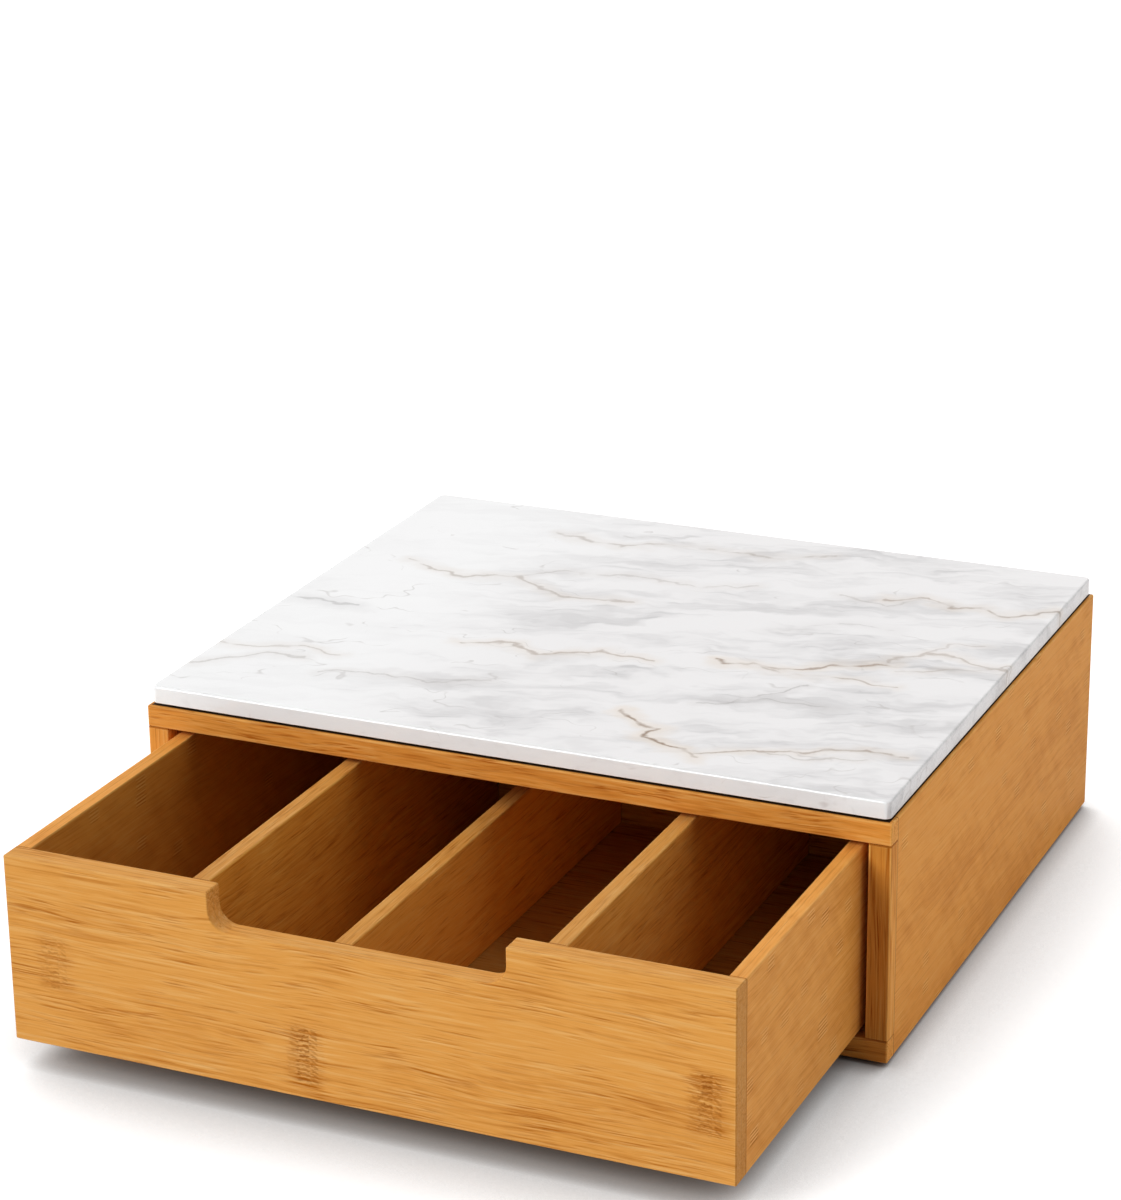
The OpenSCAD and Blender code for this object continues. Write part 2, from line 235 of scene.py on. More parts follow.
def knuckle(work, along, across, mark):
    # the scar of a cane's joint: short dashes along the grain, stacked in uneven columns
    a = along - mark["along"]
    b = across - mark["across"]
    wobble = work.noise(work.point(a / 3.0, b / 2.6, mark["along"]), 2.0) - 0.5
    pits = work.noise(work.point(a / 1.6, b / 0.8, mark["along"] + 3), 1.0)
    inside = abs(b + wobble * 5).step(mark["tall"] / 2, mark["tall"] / 2 - 4) * mark["strength"]
    dark = pits.step(0.56, 0.72) * abs(a + 1.5).step(6.5, 3.0) * 0.5
    light = 0
    for number, (start, end, force, lean) in enumerate(knuckleColumns):
        rows = (b + a * lean + wobble * 2.0) / knuckleRow + number * 0.37
        row = rows.floor()
        luck = luckOf(work, row, mark["along"] + number)
        v = rows - row - 0.5
        reach = (a - (luck - 0.5) * 2.6).step(start - 0.7, start + 0.7) * a.step(end + 0.5, end - 0.5) * force
        dark = dark + abs(v + wobble * 0.3).step(0.36, 0.12) * reach * (luck * 0.8 + 0.35)
        light = light + abs(v + wobble * 0.3).step(0.32, 0.48) * reach * (1.3 - luck * 0.7)
    light = light + abs(a - 0.8 + wobble * 1.5).step(0.7, 0.1) * pits.step(0.40, 0.60) * 0.8
    tint = abs(a + 1 + wobble * 4).step(12, 4) * abs(b).step(mark["tall"] * 0.62, mark["tall"] * 0.35)
    return dark * inside, light * inside * (1 - dark.clip()) * 0.5, tint * mark["strength"]


def raggedEnds(work, along, across, seed):
    return work.noise(work.point(along / 40, across / 1.1, seed), 1.0) - 0.5


def hatch(a, b, length, height, ragged, strength):
    # a few short fibres side by side, lying along the grain
    window = abs(b).step(height / 2, height / 2 - 1.2)
    reach = abs(a + ragged * length * 0.9).step(length / 2, length / 2 - 1.8)
    wave = (b * (math.tau / smallScar["row"]) + ragged * 3).sine()
    both = window * reach * strength
    return wave.step(-0.1, 0.8) * both, wave.step(0.0, -0.8) * both


def laneScars(work, along, across, wide, seed, strength, period):
    # one hatched scar in each length of each lane, at a place of its own
    lanes = across / wide
    lane = lanes.floor()
    cells = along / period + luckOf(work, lane, seed) * 3
    cell = cells.floor()
    luck = luckOf(work, lane, cell + seed)
    a = (cells - cell - 0.5) * period + (luck - 0.5) * period * 0.6
    b = (lanes - lane - 0.5) * wide
    return hatch(a, b, smallScar["long"], wide * smallScar["share"], raggedEnds(work, along, across, seed),
                 luck.step(0.45, 0.95) * strength)


def makeBamboo(node, grain, own):
    # grain names the axes along, across and through the board
    look = {**bambooLook, **own}
    material, work = newFinish(plainName(node) + "Bamboo")
    axes = millimetres(work)
    along, across, through = (axes[axisNumber[letter]] for letter in grain)
    low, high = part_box(node)
    seed, strip = look["seed"], look["strip"]
    streakLong, streakWide = look["streakLong"], look["streakWide"]

    drift = work.noise(work.point(along / 90, across / 26, through / 26 + seed), 1.0) - 0.5
    wavy = across + drift * 7
    flat = through + drift * 3
    lanes = (across + look["shift"]) / strip
    lane = lanes.floor()
    luck = luckOf(work, lane, seed)
    edge = abs(lanes - lane - 0.5).step(0.5 - look["seamWide"] / strip, 0.5)

    def fibres(shift, long, wide, detail=2.0, side=wavy):  # long and wide in mm
        return work.noise(work.point(along / long, side / wide, flat / wide + seed + shift), detail, 0.55)

    figure = fibres(0, long=streakLong, wide=streakWide)
    beside = fibres(0, long=streakLong, wide=streakWide, side=wavy + 0.62)  # each dark streak's light edge
    bold = fibres(40, long=streakLong * 2.2, wide=streakWide * 1.9, detail=1.0)
    patch = fibres(80, long=streakLong * 1.5, wide=6.5, detail=1.0)
    fine = fibres(120, long=10, wide=0.42)
    mottle = fibres(160, long=24, wide=9.0)
    cloud = fibres(200, long=120, wide=34.0, detail=1.0)
    thread = fibres(240, long=look["threadLong"], wide=0.85, detail=1.0)
    curl = work.noise(work.point((along + across * 0.7) / 8, across / 30, flat / 20 + seed + 280), 1.0)

    # the streaks gather in patches, and each layer of fibres has dark and light ones
    gather = (patch.step(0.40, 0.62) * 0.88 + 0.12) * look["streak"]
    dark = figure.step(0.50, 0.70) * gather * 0.72 + bold.step(0.54, 0.72) * (0.40 * look["streak"])
    dark = dark + thread.step(0.50, 0.68) * (0.22 * look["thread"])
    dark = dark + fine.step(0.52, 0.72) * (0.16 * look["fine"])
    dark = dark + (mottle - 0.5) * (1.8 * look["mottle"]) + (cloud - 0.5) * 0.5 + (luck - 0.5) * 0.10
    dark = dark + (curl - 0.5) * (1.6 * look["curl"])
    light = beside.step(0.50, 0.70) * gather * 0.46 + bold.step(0.44, 0.30) * (0.44 * look["streak"])
    light = light + thread.step(0.48, 0.32) * (0.26 * look["thread"])
    light = light + fine.step(0.48, 0.30) * (0.20 * look["fine"])
    scar = 0
    for mark in look["knuckles"]:
        darker, lighter, tinted = knuckle(work, along, wavy, mark)
        scar = scar + darker
        dark = dark + (fine.step(0.48, 0.66) * 0.42 + 0.30) * tinted
        light = light + lighter + fine.step(0.50, 0.34) * tinted * 0.45
    for mark in look["ticks"]:
        darker, lighter = hatch(along - mark["along"], across - mark["across"], mark["long"], mark["tall"],
                                raggedEnds(work, along, across, mark["along"]), mark["strength"])
        dark = (dark + darker * 0.7) * (1 - lighter * 0.7)
        light = light + lighter
    if look["scars"]:
        darker, lighter = laneScars(work, along, across + look["shift"], strip / 2, seed, look["scars"],
                                    look["scarLong"])
        dark = (dark + darker * 0.5) * (1 - lighter * 0.7)
        light = light + lighter

    seams = edge * 0.22
    # how far past the board's ends, edges and faces a point lies, less than 0 inside
    depths = []
    for letter in grain:
        number = axisNumber[letter]
        centre, half = (low[number] + high[number]) / 2 / mm, (high[number] - low[number]) / 2 / mm
        depths.append(abs(axes[number] - centre) - half)
    if look["ply"]:  # glue lines, seen on the edges and ends only
        plies = (through - low[axisNumber[grain[2]]] / mm) / look["ply"]
        ply = plies.floor()
        glue = abs(plies - ply - 0.5).step(0.5 - look["glueWide"] / look["ply"], 0.5)
        seams = seams + glue * depths[2].step(-0.3, -0.6) * 0.40
        dark = dark + (luckOf(work, ply, seed + 0.5) - 0.5) * 0.16
    atEnd, second, third = depths
    arris = second.least(third).most(second.most(third).least(atEnd))
    # painted highlight: the arrises are coloured lighter where light catches them, partly also rubbed wear
    rubbedHighlight = arris.step(-1.3, -0.35) * (0.55 + mottle * 0.9) * look["wear"]
    endGrain = atEnd.step(-0.75, -0.40) * look["endShare"]
    endLine = endGrain * atEnd.step(-0.10, -0.30) * 0.35
    place = work.point(along / 60, across / 0.9, through / 0.9)
    cells = work.add("ShaderNodeTexVoronoi", {"Vector": place, "Scale": 1.0}, feature="F1")
    bundle = cells.step(0.36, 0.14) * endGrain * 0.30

    layers = {"light": (light + rubbedHighlight * (1 - endGrain)).clip(), "dark": dark.clip()}
    if look["knuckles"]:
        layers["knot"] = scar.clip() * 0.84
    layers.update({"end": endGrain, "seam": (seams + bundle + endLine).clip()})
    colour = look["middle"]
    for tone, share in layers.items():
        colour = work.blend(colour, look[tone], share)
    tone = look["tone"]
    if look["cheek"]:
        cheek = depths[grain.index("x")].step(-0.75, -0.35)
        if look["cheekSide"]:
            cheek = cheek * (axes[0] * look["cheekSide"] > (low.x + high.x) / 2 / mm * look["cheekSide"])
        tone = work.blend(tone, look["cheek"], cheek)
    colour = work.blend(colour, tone, 1.0, "MULTIPLY")
    # painted shadow: the top faces where the slab sits are coloured near black, standing in for the shade in
    # the gap under the slab
    if look["seat"]:
        top, half, front = look["seat"]
        seat = axes[2].step(top - 0.22, top - 0.10) * abs(axes[0]).step(half - 1.4, half - 1.7)
        colour = work.blend(colour, look["slabGapShadow"], seat * axes[1].step(front + 1.4, front + 1.7))
    gloss = 0.46 + fine * 0.14 + dark * 0.10
    closeFinish(work, fine + figure * 0.8 - edge * 0.5, depth=0.00006, Base_Color=colour,
                Roughness=gloss, Specular_IOR_Level=0.06)
    return material


stoneLook = {
    "ground": (0.885, 0.868, 0.868, 1),
    "clean": (0.950, 0.950, 0.952, 1),
    # painted light: the front face is lighter and cooler, offsetting the warm bounce light on it
    "face": (0.908, 0.930, 0.940, 1),
    "veil": (0.520, 0.505, 0.510, 1),
    "grey": (0.300, 0.280, 0.280, 1),
    "gold": (0.250, 0.150, 0.080, 1),
    "glow": (0.780, 0.640, 0.500, 1),
    # painted highlight on the slab's lower arris
    "rim": (0.930, 0.915, 0.905, 1),
    "under": (0.160, 0.150, 0.140, 1),
    "lean": 14.0,  # the veils' slope on the slab, degrees
    "whiter": (-10, -125),  # the stone gets whiter to the left, from one x to the other, mm
}
# each vein: its way over the slab in mm, half width in mm, strength, how golden
veins = [
    ([(34, -27), (47, -36), (57, -38), (51, -50), (72, -58), (84, -63)], 0.95, 0.95, 1.0),
    ([(82, -60), (104, -47), (121, -43), (144, -32), (162, -30)], 0.80, 0.75, 0.8),
    ([(104, -47), (126, -50), (150, -38)], 0.60, 0.45, 0.5),
    ([(48, 45), (66, 46), (78, 47), (110, 66), (124, 70)], 0.95, 0.85, 0.9),
    ([(66, 46), (88, 42), (116, 47), (134, 44)], 0.85, 0.70, 0.7),
    ([(60, -6), (70, 2), (84, 14), (97, 32)], 0.70, 0.55, 0.1),
    ([(67, 1), (88, 9), (117, 10)], 0.80, 0.50, 0.1),
    ([(92, 151), (111, 160), (124, 153), (136, 156), (150, 151), (174, 167)], 0.95, 0.80, 0.7),
    ([(70, 150), (96, 143), (111, 160)], 0.80, 0.40, 0.3),
    ([(119, 73), (135, 89), (150, 91), (174, 80)], 0.90, 0.50, 0.8),
    ([(128, 62), (144, 70), (174, 87)], 0.80, 0.45, 0.7),
    ([(135, 89), (141, 104), (156, 109)], 0.70, 0.35, 0.6),
    ([(56, 92), (92, 115), (110, 112)], 1.00, 0.35, 0.1),
    ([(-179, -51), (-160, -36), (-146, -24), (-128, -20)], 0.90, 0.50, 0.3),
    ([(-176, -18), (-155, -16), (-135, -9), (-112, -10)], 0.90, 0.45, 0.6),
    ([(-176, 47), (-151, 51), (-136, 48)], 1.20, 0.55, 0.0),
    ([(-140, 118), (-112, 108), (-84, 116), (-52, 98), (-20, 102)], 0.95, 0.60, 0.6),
    ([(-84, 116), (-66, 130), (-30, 138)], 0.80, 0.45, 0.3),
    ([(-70, 24), (-46, 30), (-30, 22), (-4, 36), (22, 34)], 0.90, 0.60, 0.8),
    ([(-110, -34), (-86, -24), (-60, -28), (-34, -14)], 0.80, 0.45, 0.2),
    ([(-90, 182), (-52, 176), (-22, 190), (20, 186), (48, 200)], 0.95, 0.60, 0.5),
    ([(-30, 138), (4, 134), (30, 146)], 0.80, 0.40, 0.4),
]


def makeStone(name):
    material, work = newFinish(name)
    x, y, z = millimetres(work)
    low, high = (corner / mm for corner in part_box("stone_slab"))
    lean = math.radians(stoneLook["lean"])
    u = x * math.cos(lean) + y * math.sin(lean)
    v = y * math.cos(lean) - x * math.sin(lean)

    def clouds(shift, long, wide, detail=3.0):  # long and wide in mm
        return work.noise(work.point(u / long, v / wide, z / wide + shift), detail, 0.55)

    # long, middling and short bends that veils and veins follow
    bendU = clouds(3, long=40, wide=26) - 0.5
    bendV = clouds(31, long=34, wide=22) - 0.5
    swayU = clouds(61, long=15, wide=12, detail=1.0) - 0.5
    swayV = clouds(67, long=14, wide=13, detail=1.0) - 0.5
    jagU = clouds(12, long=7, wide=6) - 0.5
    jagV = clouds(17, long=8, wide=5) - 0.5
    broad = work.noise(work.point((u + bendU * 60) / 85, (v + bendV * 40) / 24, z / 20), 3.0, 0.6)
    wisps = work.noise(work.point((u + bendU * 40) / 44, (v + bendV * 22) / 5.5, z / 7 + 21), 3.0, 0.62)
    web = abs(work.noise(work.point((u + swayU * 34) / 80, (v + swayV * 22) / 30, z / 28 + 9), 1.0) - 0.5)
    strength = clouds(50, long=20, wide=16, detail=2.0)
    speck = work.noise(work.point(x / 0.9, y / 0.9, z / 0.9), 1.0)

    face = y.step(low.y + 0.7, low.y + 0.3)  # the front edge, painted lighter and cooler than the top: painted light that offsets the warm light bounced onto it
    clear = x.step(*stoneLook["whiter"]) * 0.82
    veil = broad.step(0.42, 0.72) * 0.64 + wisps.step(0.52, 0.74) * broad.step(0.40, 0.60) * 0.38
    veil = (veil + 0.06) * (1 - clear) * (1 - face * 0.75) + wisps.step(0.50, 0.76) * face * 0.13
    grey = web.step(0.010, 0.0) * strength.step(0.48, 0.62) * 0.30
    gold, glow = grey * 0.1, grey * 0.2

    warp = work.point(x + bendU * 8 + swayU * 10 + jagU * 5, y + bendV * 8 + swayV * 10 + jagV * 5, 0)
    for way, width, force, golden in veins:
        reach = None
        for (startX, startY), (endX, endY) in zip(way, way[1:]):
            span = Vector((endX - startX, endY - startY, 0))
            out = work.vector("SUBTRACT", warp, (startX, startY, 0))
            share = work.vector("DOT_PRODUCT", out, span / span.length_squared, out=1).clip()
            foot = work.vector("SCALE", span, Scale=share)
            gap = work.vector("DISTANCE", out, foot, out=1)
            reach = gap if reach is None else reach.least(gap)
        live = strength.step(0.30, 0.52) * force
        line = reach.step(width * 1.9, width * 0.1) * live
        halo = reach.step(width * 10, 0.0) * (strength * 0.9 + 0.1) * force
        grey = grey.most(line * (1 - golden)).most(halo * (1 - golden) * 0.5)
        gold = gold.most(line * golden)
        glow = glow.most(halo * golden)

    cut = (abs(x) - high.x).step(-0.5, -0.2)  # the sawn short sides
    layers = {
        "clean": clear * 1.1, "face": face,
        "veil": (veil + (speck - 0.5) * (0.06 + cut * 0.9) + cut * 0.16).clip(),
        "glow": glow.clip(), "grey": grey.clip(), "gold": gold.clip(),
        # painted highlight: the lower arris is coloured lighter
        "rim": z.step(low.z + 0.75, low.z + 0.25) * 0.8, "under": z.step(low.z + 0.12, low.z + 0.02),
    }
    colour = stoneLook["ground"]
    for tone, share in layers.items():
        colour = work.blend(colour, stoneLook[tone], share)
    gloss = 0.10 + wisps * 0.06 + grey * 0.08 + cut * 0.25
    closeFinish(work, speck, depth=0.000006, Base_Color=colour, Roughness=gloss, Coat_Weight=0.2,
                Coat_Roughness=0.04)
    return material


finishes = {"whiteStone": makeStone("whiteStone")}
print("stone finish mixed")


mouldedLook = {  # dusty is the colour where it is worn or dusty, grain is in metres
    "footRubber": {"clean": (0.055, 0.055, 0.055, 1), "dusty": (0.16, 0.155, 0.15, 1), "rough": 0.62,
                   "grain": 0.00006},
    "clearPad": {"clean": (0.66, 0.67, 0.67, 1), "dusty": (0.80, 0.81, 0.81, 1), "rough": 0.22,
                 "grain": 0.00002},
    "glideNylon": {"clean": (0.78, 0.77, 0.72, 1), "dusty": (0.66, 0.64, 0.58, 1), "rough": 0.34,
                   "grain": 0.00003},
}
steelTone = {"bright": (0.66, 0.66, 0.65, 1), "dull": (0.50, 0.49, 0.44, 1)}
dowelTone = {"pale": (0.70, 0.50, 0.28, 1), "brown": (0.50, 0.32, 0.15, 1)}


def evenNoise(work, axes, size, detail, roughness=0.5):  # the same size in mm every way
    return work.noise(work.point(*(axis / size for axis in axes)), detail, roughness)


def makeMoulded(name):
    look = mouldedLook[name]
    material, work = newFinish(name)
    axes = millimetres(work)
    grain = evenNoise(work, axes, 0.35, 2.0, 0.6)
    dust = evenNoise(work, axes, 5, 3.0, 0.6)
    mixed = work.blend(look["clean"], look["dusty"], (dust.step(0.45, 0.85) * 0.5 + grain * 0.2).clip())
    closeFinish(work, grain, look["grain"], Base_Color=mixed, Roughness=look["rough"] + grain * 0.15)
    return material


def makeSteel(name):
    material, work = newFinish(name)
    axes = millimetres(work)
    x, y, z = axes
    scratch = work.noise(work.point(x / 0.9, y / 0.2, z / 0.08), 3.0, 0.6)
    stain = evenNoise(work, axes, 1.6, 2.0)
    colour = work.blend(steelTone["bright"], steelTone["dull"], stain.step(0.4, 0.8))
    closeFinish(work, scratch, depth=0.00002, Base_Color=colour, Roughness=0.26 + scratch * 0.2,
                Metallic=1.0)
    return material


def makeDowelWood(name):
    material, work = newFinish(name)
    axes = millimetres(work)
    ring = evenNoise(work, axes, 1.1, 3.0, 0.6)
    fleck = evenNoise(work, axes, 4, 2.0)
    brown = (ring.step(0.5, 0.8) * 0.5 + fleck * 0.3).clip()
    colour = work.blend(dowelTone["pale"], dowelTone["brown"], brown)
    closeFinish(work, ring, depth=0.00005, Base_Color=colour, Roughness=0.6 + ring * 0.15)
    return material


for name in mouldedLook:
    finishes[name] = makeMoulded(name)
finishes["screwSteel"] = makeSteel("screwSteel")
finishes["dowelWood"] = makeDowelWood("dowelWood")


def solidsOf(node):  # the box of each separate solid in a node
    work = bmesh.new()
    work.from_mesh(frame["nodes"][node].data)
    bmesh.ops.remove_doubles(work, verts=work.verts, dist=hair)
    work.verts.ensure_lookup_table()
    left, boxes = set(work.verts), []
    while left:
        heap, found = [left.pop()], []
        while heap:
            vert = heap.pop()
            found.append(vert.co.copy())
            for edge in vert.link_edges:
                other = edge.other_vert(vert)
                if other in left:
                    left.remove(other)
                    heap.append(other)
        boxes.append((Vector(map(min, zip(*found))), Vector(map(max, zip(*found)))))
    work.free()
    return sorted(boxes, key=lambda box: tuple(round(value, 5) for value in box[0]))


def turnTo(axis, sign=1):  # turns +Z to the given axis
    direction = Vector([sign * (letter == axis) for letter in "xyz"])
    return direction.to_track_quat("Z", "Y")


def longAxis(low, high):
    size = high - low
    return "xyz"[max(range(3), key=lambda number: size[number])]


def startOf(low, high, axis, sign=1):  # the middle of a solid's first side along that way
    place = (low + high) / 2
    place[axisNumber[axis]] = (low if sign > 0 else high)[axisNumber[axis]]
    return place


def addTurned(work, profile, place, turn, sides=24):
    # a solid of revolution from (radius, height) pairs
    matrix = Matrix.Translation(place) @ turn.to_matrix().to_4x4()
    rings = []
    for radius, height in profile:
        angles = [math.tau * number / sides for number in range(sides if radius else 1)]
        spots = [(radius * math.cos(angle), radius * math.sin(angle), height) for angle in angles]
        rings.append([work.verts.new(matrix @ Vector(spot)) for spot in spots])
    for lower, upper in zip(rings, rings[1:]):
        for number in range(sides):
            after = (number + 1) % sides
            corners = [lower[number % len(lower)], lower[after % len(lower)],
                       upper[after % len(upper)], upper[number % len(upper)]]
            work.faces.new(dict.fromkeys(corners))


def addBox(work, low, high):
    corners = bmesh.ops.create_cube(work, size=1)["verts"]
    for corner in corners:
        corner.co = Vector([low[number] if corner.co[number] < 0 else high[number] for number in range(3)])


joinery = {  # the air round each piece, and how far a cutter reaches past the wood
    "dowelGap": 0.1 * mm, "dowelEndGap": 0.5 * mm,
    "screwGap": 0.1 * mm, "screwEndGap": 0.5 * mm, "threadRadius": 1.3 * mm,
    "grooveGap": 0.3 * mm, "grooveTop": 0.1 * mm, "rebateGap": 0.2 * mm, "over": 1.0 * mm,
}
dowelNodes = ["case_dowels", "frame_dowels", "drawer_dowels", "divider_dowels"]
screwNodes = {"back_panel_screws": ("y", 1), "stop_block_screws": ("z", -1)}


def dowelHole(work, low, high):
    half = max(high - low) / 2 + joinery["dowelEndGap"]
    radius = min(high - low) / 2 + joinery["dowelGap"]
    addTurned(work, [(0, -half), (radius, -half), (radius, half), (0, half)], (low + high) / 2,
              turnTo(longAxis(low, high)))


def screwHole(work, low, high, axis, sign):
    number = axisNumber[axis]
    length = high[number] - low[number] + joinery["screwEndGap"]
    wide = min(high - low) / 2 + joinery["screwGap"]
    thin = joinery["threadRadius"] + joinery["screwGap"]
    addTurned(work, [(0, -length), (thin, -length), (thin, thin - wide), (wide, 0), (wide, joinery["over"]),
                     (0, joinery["over"])], startOf(low, high, axis, -sign), turnTo(axis, sign))


# each hole: the box of what goes in it, the function that cuts it, and how that lies
holes = [(box, dowelHole, ()) for node in dowelNodes for box in solidsOf(node)]
for node, way in screwNodes.items():
    holes += [(box, screwHole, way) for box in solidsOf(node)]


def growBox(node, low, high):
    lowest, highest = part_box(node)
    return lowest - Vector(low), highest + Vector(high)


gap, top, rebate, over = (joinery[name] for name in ("grooveGap", "grooveTop", "rebateGap", "over"))
grooveBox = growBox("drawer_bottom", (gap, gap, 0), (gap, gap, top))
rebateBox = growBox("case_back_panel", (rebate, 0, rebate), (rebate, over, rebate))
print("joinery read,", len(holes), "holes")


def overlap(first, second):  # whether two boxes share room
    touch = 0.01 * mm
    return all(first[0][number] < second[1][number] - touch and second[0][number] < first[1][number] - touch
               for number in range(3))


def prism(outline, axis, low, high):  # a bar with that outline, from low to high along axis
    work = bmesh.new()
    flat = [number for number in range(3) if number != axisNumber[axis]]

    def corner(pair, depth):
        place = [0.0, 0.0, 0.0]
        place[axisNumber[axis]] = depth
        place[flat[0]], place[flat[1]] = pair
        return work.verts.new(place)

    near = [corner(pair, low) for pair in outline]
    far = [corner(pair, high) for pair in outline]
    work.faces.new(near)
    work.faces.new(reversed(far))
    for number in range(len(outline)):
        after = (number + 1) % len(outline)
        work.faces.new((near[number], far[number], far[after], near[after]))
    bmesh.ops.recalc_face_normals(work, faces=work.faces)
    return work


def arc(x, y, radius, start, end, steps):
    angles = [math.radians(start + (end - start) * number / steps) for number in range(steps + 1)]
    return [(x + radius * math.cos(angle), y + radius * math.sin(angle)) for angle in angles]


def newObject(name, data):
    piece = bpy.data.objects.new(name, data)
    bpy.context.scene.collection.objects.link(piece)
    return piece


def toObject(work, name):
    mesh = bpy.data.meshes.new(name)
    work.to_mesh(mesh)
    work.free()
    return newObject(name, mesh)


def freeze(piece):  # the evaluated mesh takes the modifiers' place
    graph = bpy.context.evaluated_depsgraph_get()
    mesh = bpy.data.meshes.new_from_object(piece.evaluated_get(graph))
    piece.modifiers.clear()
    piece.data = mesh
    return mesh


def finishPiece(piece, node, finish, sharpAngle=35):
    mesh = piece.data
    mesh.materials.clear()
    mesh.materials.append(finish)
    for face in mesh.polygons:
        face.use_smooth = True
        face.material_index = 0
    mesh.set_sharp_from_angle(angle=math.radians(sharpAngle))
    settle = piece.modifiers.new("flatFaces", "WEIGHTED_NORMAL")
    settle.keep_sharp = True
    settle.weight = 80
    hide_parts(node)
    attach(piece, bodyOf[node])


softTurn = 30  # degrees, an edge that turns less isn't eased


def easeEdges(work, arris, joint, joined):
    # the bevel's share on each edge: full on open arrises, narrow where the board meets another
    signs = {"+": 1, "-": -1}
    meets = [Vector([signs[side[0]] * (letter == side[1]) for letter in "xyz"]) for side in joined]
    share = work.edges.layers.float.new("bevel_weight_edge")
    for edge in work.edges:
        if edge.calc_face_angle(0) < math.radians(softTurn):
            continue
        atJoint = any(face.normal.dot(direction) > 0.99 for face in edge.link_faces for direction in meets)
        edge[share] = joint / arris if atJoint else 1.0


def makeBoard(node, finish, joined=(), arris=0.8, joint=0.22, outline=None, axis="y", grooves=()):
    low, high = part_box(node)
    plain = [(low.x, low.z), (high.x, low.z), (high.x, high.z), (low.x, high.z)]
    work = prism(outline or plain, axis, low[axisNumber[axis]], high[axisNumber[axis]])
    easeEdges(work, arris, joint, joined)
    piece = toObject(work, node + "_eased")
    ease = piece.modifiers.new("ease", "BEVEL")
    ease.limit_method = "WEIGHT"
    ease.width = arris * mm
    ease.segments = 3
    cutting = bmesh.new()
    for box, cut, way in holes:
        if overlap((low, high), box):
            cut(cutting, *box, *way)
    for grooveLow, grooveHigh in grooves:
        addBox(cutting, grooveLow, grooveHigh)
    bmesh.ops.recalc_face_normals(cutting, faces=cutting.faces)
    tool = toObject(cutting, "cutting")
    if len(tool.data.vertices):
        bore = piece.modifiers.new("bore", "BOOLEAN")
        bore.operation = "DIFFERENCE"
        bore.solver = "EXACT"
        bore.object = tool
    freeze(piece)
    bpy.data.objects.remove(tool)
    finishPiece(piece, node, finish)


def bambooBoard(node, grain, look, joined=(), **cut):
    makeBoard(node, makeBamboo(node, grain, look), joined, **cut)


cutout = {"wide": 132, "deep": 17, "corner": 9, "ease": 1.0}  # mm


def frontOutline():
    low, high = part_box("drawer_front")
    half, bottom = cutout["wide"] / 2 * mm, high.z - cutout["deep"] * mm
    corner, ease = cutout["corner"] * mm, cutout["ease"] * mm
    right = (arc(half + ease, high.z - ease, ease, 90, 180, steps=4)
             + arc(half - corner, bottom + corner, corner, 0, -90, steps=12))
    left = [(-x, z) for x, z in reversed(right)]
    return [(low.x, low.z), (high.x, low.z), (high.x, high.z)] + right + left + [(low.x, high.z)]


frontKnuckles = [
    {"along": -139.0, "across": 53.0, "tall": 27.0, "strength": 0.45},
    {"along": -22.7, "across": 33.0, "tall": 28.0, "strength": 0.92},
    {"along": 151.5, "across": 48.0, "tall": 29.0, "strength": 0.78},
]
backKnuckles = [
    {"along": 88.0, "across": 40.0, "tall": 23.0, "strength": 0.75},
    {"along": -102.0, "across": 74.0, "tall": 23.0, "strength": 0.70},
]
boardKnuckles = [
    {"along": -96.0, "across": 30.0, "tall": 24.0, "strength": 0.70},
    {"along": 61.0, "across": 122.0, "tall": 24.0, "strength": 0.70},
]
sideTicks = [
    {"along": -123, "across": 86, "tall": 8, "long": 10, "strength": 0.80},
    {"along": -124, "across": 37, "tall": 10, "long": 12, "strength": 0.80},
    {"along": -201, "across": 27, "tall": 8, "long": 10, "strength": 0.90},
    {"along": -168, "across": 62, "tall": 8, "long": 10, "strength": 0.45},
]
sideLook = {"streak": 0.14, "mottle": 0.34, "curl": 0.22, "thread": 0.85, "threadLong": 30, "fine": 0.9,
            "scars": 0.8, "scarLong": 44, "wear": 0.35}
caseTone = (0.92, 0.79, 0.59, 1)
innerShade = (0.60, 0.54, 0.38, 1)  # painted shade on the drawer sides' inner faces
caseJoint = 0.10  # mm, the eased edge where case boards meet

drawerFrontLook = {"ply": 5, "knuckles": frontKnuckles, "tone": (0.80, 0.76, 0.74, 1), "streak": 0.87,
                   "streakLong": 23, "thread": 0.87, "threadLong": 30, "fine": 0.87, "wear": 0.25,
                   "endShare": 0.4}
bambooBoard("drawer_front", "xzy", drawerFrontLook, ["+y"], arris=0.7, outline=frontOutline(),
            grooves=[grooveBox])

drawerSideLook = {**sideLook, "ply": 3.75, "strip": 28, "shift": 12, "ticks": sideTicks,
                  "tone": (0.90, 0.80, 0.71, 1), "cheek": innerShade}
for node, seed, inner in (("drawer_left_side", 37, 1), ("drawer_right_side", 41, -1)):
    bambooBoard(node, "yzx", {**drawerSideLook, "seed": seed, "cheekSide": inner}, ["-y"],
                grooves=[grooveBox])

# painted shade: the drawer's back is toned darker, for the dark inside of the drawer
drawerBackLook = {"ply": 4, "strip": 28, "knuckles": backKnuckles, "seed": 47, "tone": (0.56, 0.60, 0.56, 1)}
bambooBoard("drawer_back", "xzy", drawerBackLook, ["-x", "+x"], grooves=[grooveBox])

# painted shade: the drawer's bottom is toned darker, for the dark inside of the drawer
drawerBottomLook = {"strip": 24, "knuckles": boardKnuckles, "seed": 71, "tone": (0.60, 0.65, 0.62, 1)}
bambooBoard("drawer_bottom", "xyz", drawerBottomLook, arris=0.4)

